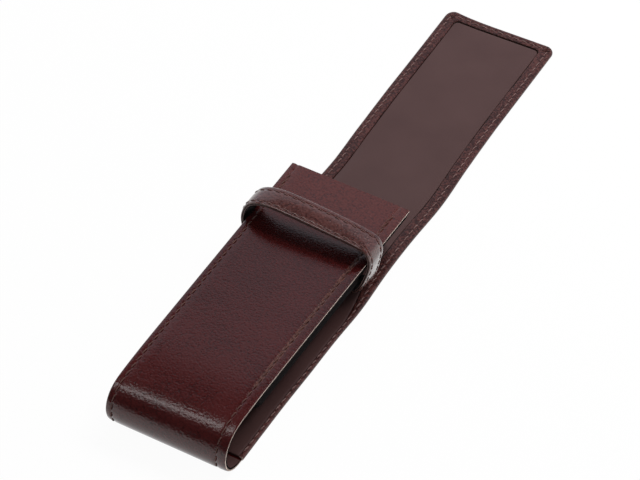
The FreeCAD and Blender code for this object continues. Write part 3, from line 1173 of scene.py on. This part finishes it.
LINING_ROWS = slice(1, -3)
front_seams = {side: middle_mm(f"front_{side}_seam")[0] for side in ("left", "right")}


def front_columns(x_half):
    """Places across the front, close together at the cuts and at the seams."""
    insets = (x_half + front_seams["left"], x_half - front_seams["right"])
    left, right = (np.array([*AT_CUT, *(inset + at for at in AT_SEAM), RIM_END]) for inset in insets)
    middle = np.linspace(MIDDLE_FROM - x_half, x_half - MIDDLE_FROM, MIDDLE_COLUMNS)
    return np.concatenate([left - x_half, middle, x_half - right[::-1]])


def front_sheet(name, top_depth, thickness, x_half, line, finishes, sewn):
    xs = front_columns(x_half)
    run = line[0][:, None]
    from_edge = (x_half - abs(xs))[None, :]
    dip = fall(from_edge, *CUT_ROUND) + 0 * run
    if sewn:
        for seam in front_seams.values():
            dip = dip + furrow(xs[None, :] - seam, run, *FRONT_FURROW)
        dip = dip + fall(from_edge, *CUT_ROLL, power=1.5)
    outer = front_point(xs, line, top_depth + dip)
    inside = front_point(xs, line, top_depth + thickness + 0 * dip)
    skin = Skin()
    rubbed = sewn * (abs((xs[1:] + xs[:-1]) / 2 - front_seams["right"]) < SEAM_STRIP)
    flat_rows = int(np.sum(line[1] > bend_axis + RUB_FROM))
    for k in range(len(xs) - 1):
        skin.grid(outer[: flat_rows + 1, k : k + 2], int(rubbed[k]))
        skin.grid(outer[flat_rows:, k : k + 2])
    skin.grid(inside)
    at_cut = len(finishes) - 1
    for side, way in ((0, -1), (-1, 1)):
        a, b = outer[:, side], inside[:, side]
        swell = np.array([CUT_SWELL * way, 0, 0])
        skin.grid(np.stack([a, a * 0.7 + b * 0.3 + swell, a * 0.3 + b * 0.7 + swell, b]), at_cut)
    for end in (0, -1):
        skin.grid(np.stack([outer[end], inside[end]]), at_cut)
    return skin.piece(name, finishes)


front_outer = front_sheet(
    "front_outer", 0.0, leather_top, half_width, line, [leather, seam_leather, cut_edge], True
)
front_inner = front_sheet(
    "front_inner",
    leather_top + LAYER_GAP,
    FRONT_LINING,
    half_width - FRONT_LINING_INSET,
    tuple(part[LINING_ROWS] for part in line),
    [lining, pocket_shade_black],
    False,
)
for item, node in ((front_outer, "body_leather"), (front_inner, "front_lining")):
    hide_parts(node)
    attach(item, "case")

# %% [markdown]
# Under the front hangs the pocket: a soft trough, painted black as painted shade, with its edges sewn in
# with the front's side seams. It closes in a slope at its lower end. Cloth simulation could shape it, but
# little of it shows, so its section is drawn and carried along. Below the strap its sides bulge outwards,
# so the black shows under the front's right edge as painted shade.
# %% Pocket
POCKET_WALL = 0.8
POCKET_EDGE = 4.7
POCKET_CORNER = 6.0
POCKET_BULGE = 1.8
POCKET_SLOPE = (1.0, 10.0)
POCKET_SHUT = 0.05
POCKET_SHARP = 60
SLOPE_STEP = 1.0
SLOPE_ROOM = 5
TROUGH_STEP = 3.0
SEWN_EDGE = (0.1, 1.0)
FLANGE_ROOT = 0.5
ROUND_SHARE = 0.9
WALL_FROM = 0.12
BULGE_FROM = 0.1
pocket_low, pocket_high = box_mm("pen_pocket")


def trough_section(deep, bulge, outer):
    """Half of the trough from its edge to its middle: x and height below the pocket's top."""
    wall = POCKET_WALL if outer else 0.0
    side = half_width - POCKET_EDGE - POCKET_WALL + wall
    low = deep + wall
    radius = min(POCKET_CORNER + wall, low * ROUND_SHARE)
    turn = np.radians(np.linspace(0, 90, 10))
    xs = side - radius + radius * np.cos(turn)
    hs = low - radius + radius * np.sin(turn)
    flange = [*((half_width - inset, wall) for inset in SEWN_EDGE), (side + FLANGE_ROOT, wall)]
    floor = [(x, low) for x in np.linspace(side - radius, 0, 6)[1:]]
    drop = np.linspace(max(wall, WALL_FROM * low), low - radius, 6)[:-1]
    section = np.array([*flange, *((side, h) for h in drop), *zip(xs, hs), *floor])
    hanging = section[len(flange) :]
    hanging[:, 0] += bulge * np.sin(math.pi * share(hanging[:, 1], BULGE_FROM * low, low))
    return section


def trough_row(y, outer):
    """The whole section at one place along the pocket, shut at its lower end and open past the slope."""
    top = pocket_high[2]
    full = top - pocket_low[2] - POCKET_WALL
    opened = share(y - pocket_low[1], *POCKET_SLOPE)
    deep = POCKET_SHUT + (full - POCKET_SHUT) * opened**2 * (3 - 2 * opened)
    # Painted shade: the bulge pushes the black sides out under the front's right edge, where they show as
    # shadow.
    bulge = POCKET_BULGE * share(y, strap_high[1], strap_low[1])
    half = trough_section(deep, bulge, outer)
    both = np.concatenate([half, half[-2::-1] * [-1, 1]])
    return points_from(both[:, 0], y, top - both[:, 1])


def pocket():
    start, end = pocket_low[1], pocket_high[1]
    sloped = start + POCKET_SLOPE[1] + SLOPE_ROOM
    ys = np.concatenate([steps(start, sloped, SLOPE_STEP), steps(sloped, end, TROUGH_STEP)[1:]])
    inner, outer = (sleeve(np.array([trough_row(y, is_outer) for y in ys])) for is_outer in (False, True))
    skin = Skin()
    skin.slab(inner, outer)
    return skin.piece("pocket_trough", [pocket_shade_black], POCKET_SHARP)


pocket_trough = pocket()
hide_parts("pen_pocket")
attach(pocket_trough, "case")

# %% [markdown]
# A thin wall hangs down the middle of the pocket and parts it in two. A flat board would look stiff. This
# one is glued by a foot along its top and waves a little towards its free edge, as a hanging sheet does.
# %% Divider
DIVIDER_HALF = 0.4
DIVIDER_FOOT = 0.5
DIVIDER_FILLET = 0.4
DIVIDER_POINT = 0.3
DIVIDER_STEP = 2.5
DIVIDER_WAVE = 0.35
DIVIDER_WAVE_RUN = 13.0


def divider():
    """A hanging wall with a foot along its top."""
    low, high = box_mm("pen_divider")
    half, foot = DIVIDER_HALF, (high[0] - low[0]) / 2
    foot_low = high[2] - DIVIDER_FOOT
    under_foot = [(foot, high[2]), (foot, foot_low), (half, foot_low - DIVIDER_FILLET)]
    right = [*under_foot, (half, low[2] + DIVIDER_POINT)]
    left = [(-x, z) for x, z in right[::-1]]
    section = np.array([left[-1], *right, (0, low[2]), *left])
    ys = steps(low[1], high[1], DIVIDER_STEP)
    hang = (high[2] - section[:, 1]) / (high[2] - low[2])
    sway = DIVIDER_WAVE * np.sin((ys - low[1]) / DIVIDER_WAVE_RUN)[:, None] * hang[None, :]
    rows = sleeve(points_from(section[None, :, 0] + sway, ys[:, None], section[None, :, 1]))
    skin = Skin()
    skin.grid(rows)
    for end in (0, -1):
        skin.loop(list(rows[end][:-1]))
    return skin.piece("pen_wall", [pocket_shade_black])


pen_wall = divider()
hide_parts("pen_divider")
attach(pen_wall, "case")

# %% [markdown]
# The strap is a loop round the sleeve that holds the tucked flap. A worn strap is no neat rectangle: it
# stands higher on the left, its shoulders differ and its sides run inwards to the back. A curve object
# could draw it, but its points are needed for the seams too, so the loop is a smooth curve through a few
# listed places, each an x and a height.
# %% Loop of the strap
STRAP_ROUTE = (
    (-18.0, 2.25),
    (0.0, 2.1),
    (18.0, 2.25),
    (22.6, 3.8),
    (25.8, 9.0),
    (28.2, 16.0),
    (29.4, 21.5),
    (29.3, 26.0),
    (27.0, 30.2),
    (20.0, 32.2),
    (8.0, 33.8),
    (-8.0, 35.2),
    (-20.0, 35.0),
    (-28.4, 31.2),
    (-31.9, 23.5),
    (-31.4, 15.5),
    (-27.4, 8.0),
    (-22.6, 3.6),
)


def smooth_loop(route, per_span=40):
    """A closed curve through the points of a route."""
    p = np.array(route)
    before, after, beyond = np.roll(p, 1, 0), np.roll(p, -1, 0), np.roll(p, -2, 0)
    t = np.linspace(0, 1, per_span, endpoint=False)[:, None, None]
    first = (after - before) * t
    second = (2 * before - 5 * p + 4 * after - beyond) * t**2
    third = (3 * p - before - 3 * after + beyond) * t**3
    return ((2 * p + first + second + third) / 2).transpose(1, 0, 2).reshape(-1, 2)


def strap_loop(count=320):
    """The loop's outer face seen along the case: run, x, z and the outward direction."""
    curve = smooth_loop(STRAP_ROUTE)
    closed = np.concatenate([curve, curve[:1]])
    length = np.concatenate([[0], np.cumsum(np.linalg.norm(np.diff(closed, axis=0), axis=1))])
    run = np.linspace(0, length[-1], count, endpoint=False)
    x, z = (np.interp(run, length, closed[:, k]) for k in (0, 1))
    heading_x = np.roll(x, -1) - np.roll(x, 1)
    heading_z = np.roll(z, -1) - np.roll(z, 1)
    size = np.hypot(heading_x, heading_z)
    return run, x, z, heading_z / size, -heading_x / size


loop = strap_loop()
print(f"strap: {loop[0][-1]:.0f} mm round")

# %% [markdown]
# The strap is two layers sewn along both edges. Across its width the leather is crowned, its near edge
# sags, and its right side is twisted towards the viewer. Both layers are grids round the loop, at two
# depths below its outer face, so they stay together wherever the strap bends.
# %% Layers of the strap
STRAP_LAYER = 1.0
UPPER_SEAM_INSET = 2.2
LOWER_SEAM_INSET = 1.5
STRAP_BACK = 0.6
STRAP_COLUMNS = (0.0, 0.08, 0.25, 0.55, 0.9, 1.15, 1.35, 1.5, 1.65, 1.85, 2.05, 2.2, 2.35, 2.6, 3.5)
STRAP_EDGE = (0.25, 0.55)
STRAP_FURROW = (0.2, 0.34)
STRAP_CROWN = 0.3
STRAP_SWELL = 0.06
STRAP_SAG = 0.9
SAG_ABOVE = (24, 34)
SAG_HALF = 26
STRAP_TWIST = 1.8
TWIST_ACROSS = (12, 22)
TWIST_BELOW = (18, 3)
strap_half = (strap_high[1] - strap_low[1]) / 2
STRAP_SEAMS = {"upper": strap_half - UPPER_SEAM_INSET, "lower": LOWER_SEAM_INSET - strap_half}


def strap_points(loop, v, below):
    """Points at a depth below the outer face, by place round the loop and by v across the strap."""
    _, x, z, out_x, out_z = (part[:, None] for part in loop)
    near = share(v, strap_half, -strap_half)[None, :]
    sag = STRAP_SAG * near * share(z, *SAG_ABOVE) * np.clip(1 - (x / SAG_HALF) ** 2, 0, 1)
    twist = STRAP_TWIST * (1 - near) * share(x, *TWIST_ACROSS) * share(z, *TWIST_BELOW)
    return points_from(x + twist - out_x * below, strap_middle + v[None, :], z - out_z * below - sag)


def strap_layer(name, top_depth, thickness, finishes, sewn):
    rim = np.array(STRAP_COLUMNS)
    v = np.concatenate([rim - strap_half, [-1, 0, 1], strap_half - rim[::-1]])
    from_edge = (strap_half - abs(v))[None, :]
    run = loop[0][:, None]
    dip = fall(from_edge, *STRAP_EDGE) + 0 * run
    if sewn:
        for seam in STRAP_SEAMS.values():
            dip = dip + furrow(v[None, :] - seam, run, *STRAP_FURROW)
        dip = dip + STRAP_CROWN * (1 - from_edge / strap_half) ** 2
    outer = strap_points(loop, v, top_depth + dip)
    inner = strap_points(loop, v, top_depth + thickness + 0 * dip)
    skin = Skin()
    for layer in (outer, inner):
        skin.grid(np.concatenate([layer, layer[:1]]))
    for side, way in ((0, -1), (-1, 1)):
        a, b = outer[:, side], inner[:, side]
        wall = np.stack([a, (a + b) / 2 + np.array([0, STRAP_SWELL * way, 0]), b])
        skin.grid(np.concatenate([wall, wall[:, :1]], axis=1), len(finishes) - 1)
    return skin.piece(name, finishes)


strap_outer = strap_layer("strap_outer", 0.0, STRAP_LAYER, [strap_leather, dyed_edge_and_highlight], True)
strap_inner = strap_layer(
    "strap_inner", STRAP_LAYER + LAYER_GAP, STRAP_BACK, [strap_back, dyed_edge_and_highlight], False
)
for item, node in ((strap_outer, "strap_leather"), (strap_inner, "strap_lining")):
    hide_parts(node)
    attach(item, "case")

# %% [markdown]
# A stitch is a short length of twisted thread that comes up through one needle hole and goes down through
# the next. One stitch is modelled with the bulges of two twisted strands, and copies of it are laid along
# every seam, slanted a little as a sewing machine leaves them. An Array modifier could repeat it along a
# curve, but a row that is written as one mesh also follows bent leather and stays one piece.
# %% Stitches
STITCH_HALF = 1.72
STITCH_RADIUS = 0.27
STITCH_TAPER = 0.35
STITCH_SLANT = 7.0
STITCH_TWIST = 5.0
STRAND_BULGE = 0.17
STITCH_LIFT = 0.16
STITCH_DIVE = 0.52
THREAD_SHARP = 80


def one_stitch(rings=15, sides=10):
    """Rings of points along Y, humped in the middle and sunk at both ends."""
    t = np.linspace(-1, 1, rings)[:, None]
    a = np.linspace(0, 2 * math.pi, sides, endpoint=False)[None, :]
    strands = 1 + STRAND_BULGE * np.cos(2 * (a - STITCH_TWIST * t))
    radius = STITCH_RADIUS * (1 - STITCH_TAPER * t**6) * strands
    lift = STITCH_LIFT - STITCH_DIVE * abs(t) ** 3.5
    return points_from(radius * np.cos(a), STITCH_HALF * t, lift + radius * np.sin(a))


def sew(name, places, replaced, finish):
    """A row of stitches. Each place is a point, the direction along the seam and the way out."""
    shape = one_stitch()
    skin = Skin()
    slant = math.radians(STITCH_SLANT)
    for point, along, out in places:
        side = np.cross(along, out)
        ahead = along * math.cos(slant) + side * math.sin(slant)
        side = np.cross(ahead, out)
        rings = shape[..., :1] * side + shape[..., 1:2] * ahead + shape[..., 2:] * out + point
        skin.grid(np.concatenate([rings, rings[:, :1]], axis=1))
        for end in (0, -1):
            skin.loop(list(rings[end]))
    row = skin.piece(name, [finish], THREAD_SHARP)
    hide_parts(*replaced)
    return row


def stitch_middles(start, end):
    """Middles of stitches between two needle holes at the ends of a run."""
    first = math.ceil(start / STITCH_PITCH - 0.5)
    last = math.floor(end / STITCH_PITCH - 0.5)
    return [(k + 1) * STITCH_PITCH for k in range(first, last)]


print("points in one stitch:", one_stitch().size // 3)

# %% [markdown]
# The hems' seams run along both sides of the strip and across its end. Every stitch on the hem has one
# under it on the strip's outside. The thread is pulled tight, so it lies half sunk in the leather.
# %% Seams of the hems
UP = np.array([0.0, 0.0, 1.0])
ALONG = np.array([0.0, 1.0, 0.0])
ACROSS = np.array([1.0, 0.0, 0.0])
HEM_SINK = 0.16
UNDERSIDE_DEPTH = 0.42
SEAM_START = 1.0


def hem_stitch(x, y, along):
    """A stitch on the hem and the one under it on the strip's outside."""
    yield lay(x, y, hem_top - HEM_SINK), along, UP
    yield lay(x, y, UNDERSIDE_DEPTH), along, -UP


def side_places(x, start, end):
    return [place for y in stitch_middles(start, end) for place in hem_stitch(x, y, ALONG)]


end_y = flap_end - seam_inset
for side, word in ((-1, "left"), (1, "right")):
    x = side * seam_x
    replaced = [f"back_{word}_seam", f"bridge_{word}_seam"]
    places = side_places(x, hem_start + SEAM_START, bridge_middle)
    bend_with(sew(f"back_{word}_thread", places, replaced, hem_thread), "first")
    places = side_places(x, bridge_middle, end_y)
    bend_with(sew(f"flap_{word}_thread", places, [f"flap_{word}_seam"], hem_thread), "second")
end_places = [place for x in stitch_middles(-seam_x, seam_x) for place in hem_stitch(x, end_y, ACROSS)]
bend_with(sew("flap_end_thread", end_places, ["flap_end_seam"], hem_thread), "second")

# %% [markdown]
# The front's seams follow its line down and round the bend. At the mouth each one is sewn back over itself
# by two stitches, so that it can't run out.
# %% Seams of the front
SEAM_TOP = 3.0
SEAM_LAST_TURN = math.radians(138)
BACK_STITCH_SHIFT = 0.55
FRONT_SINK = 0.24


def at_run(line_run, values, run):
    return float(np.interp(run, line_run, values))


def front_stitch(x, r):
    run, y, z, turn = line
    angle = at_run(run, turn, r)
    out = np.array([0.0, -math.sin(angle), math.cos(angle)])
    along = np.array([0.0, -math.cos(angle), -math.sin(angle)])
    point = np.array([x, at_run(run, y, r), at_run(run, z, r)]) - out * FRONT_SINK
    return sleeve(point), along, out


def front_places(x):
    run, _, _, turn = line
    middles = stitch_middles(SEAM_TOP, at_run(turn, run, SEAM_LAST_TURN))
    inwards = -math.copysign(BACK_STITCH_SHIFT, x)
    back = [front_stitch(x + inwards, r - STITCH_PITCH / 2) for r in middles[1:3]]
    return [front_stitch(x, r) for r in middles] + back


for word, x in front_seams.items():
    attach(sew(f"front_{word}_thread", front_places(x), [f"front_{word}_seam"], front_thread), "case")

# %% [markdown]
# The strap's seams follow its loop, except on the run that is hidden under the sleeve. There two short
# rows sew it down to the back's lining, where the construction model has them.
# %% Seams of the strap
STRAP_SINK = 0.32
HIDDEN_RUN = 3.0


def strap_places(v):
    run, x, z, out_x, out_z = loop
    skin = strap_points(loop, np.array([v]), 0.0)[:, 0]
    places = []
    for r in stitch_middles(0, run[-1]):
        point = np.array([at_run(run, skin[:, k], r) for k in range(3)])
        if point[2] < hem_top + HIDDEN_RUN:
            continue
        out = np.array([at_run(run, out_x, r), 0.0, at_run(run, out_z, r)])
        out = out / np.linalg.norm(out)
        places.append((point - out * STRAP_SINK, np.cross(out, ALONG), out))
    return places


def anchor_places():
    low, high = box_mm("strap_anchor_seam")
    rows = (low[1] + STITCH_RADIUS, high[1] - STITCH_RADIUS)
    return [(np.array([x, y, low[2]]), ACROSS, UP) for y in rows for x in stitch_middles(low[0], high[0])]


strap_rows = {word: strap_places(v) for word, v in STRAP_SEAMS.items()}
strap_rows["anchor"] = anchor_places()
for word, places in strap_rows.items():
    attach(sew(f"strap_{word}_thread", places, [f"strap_{word}_seam"], strap_thread), "case")
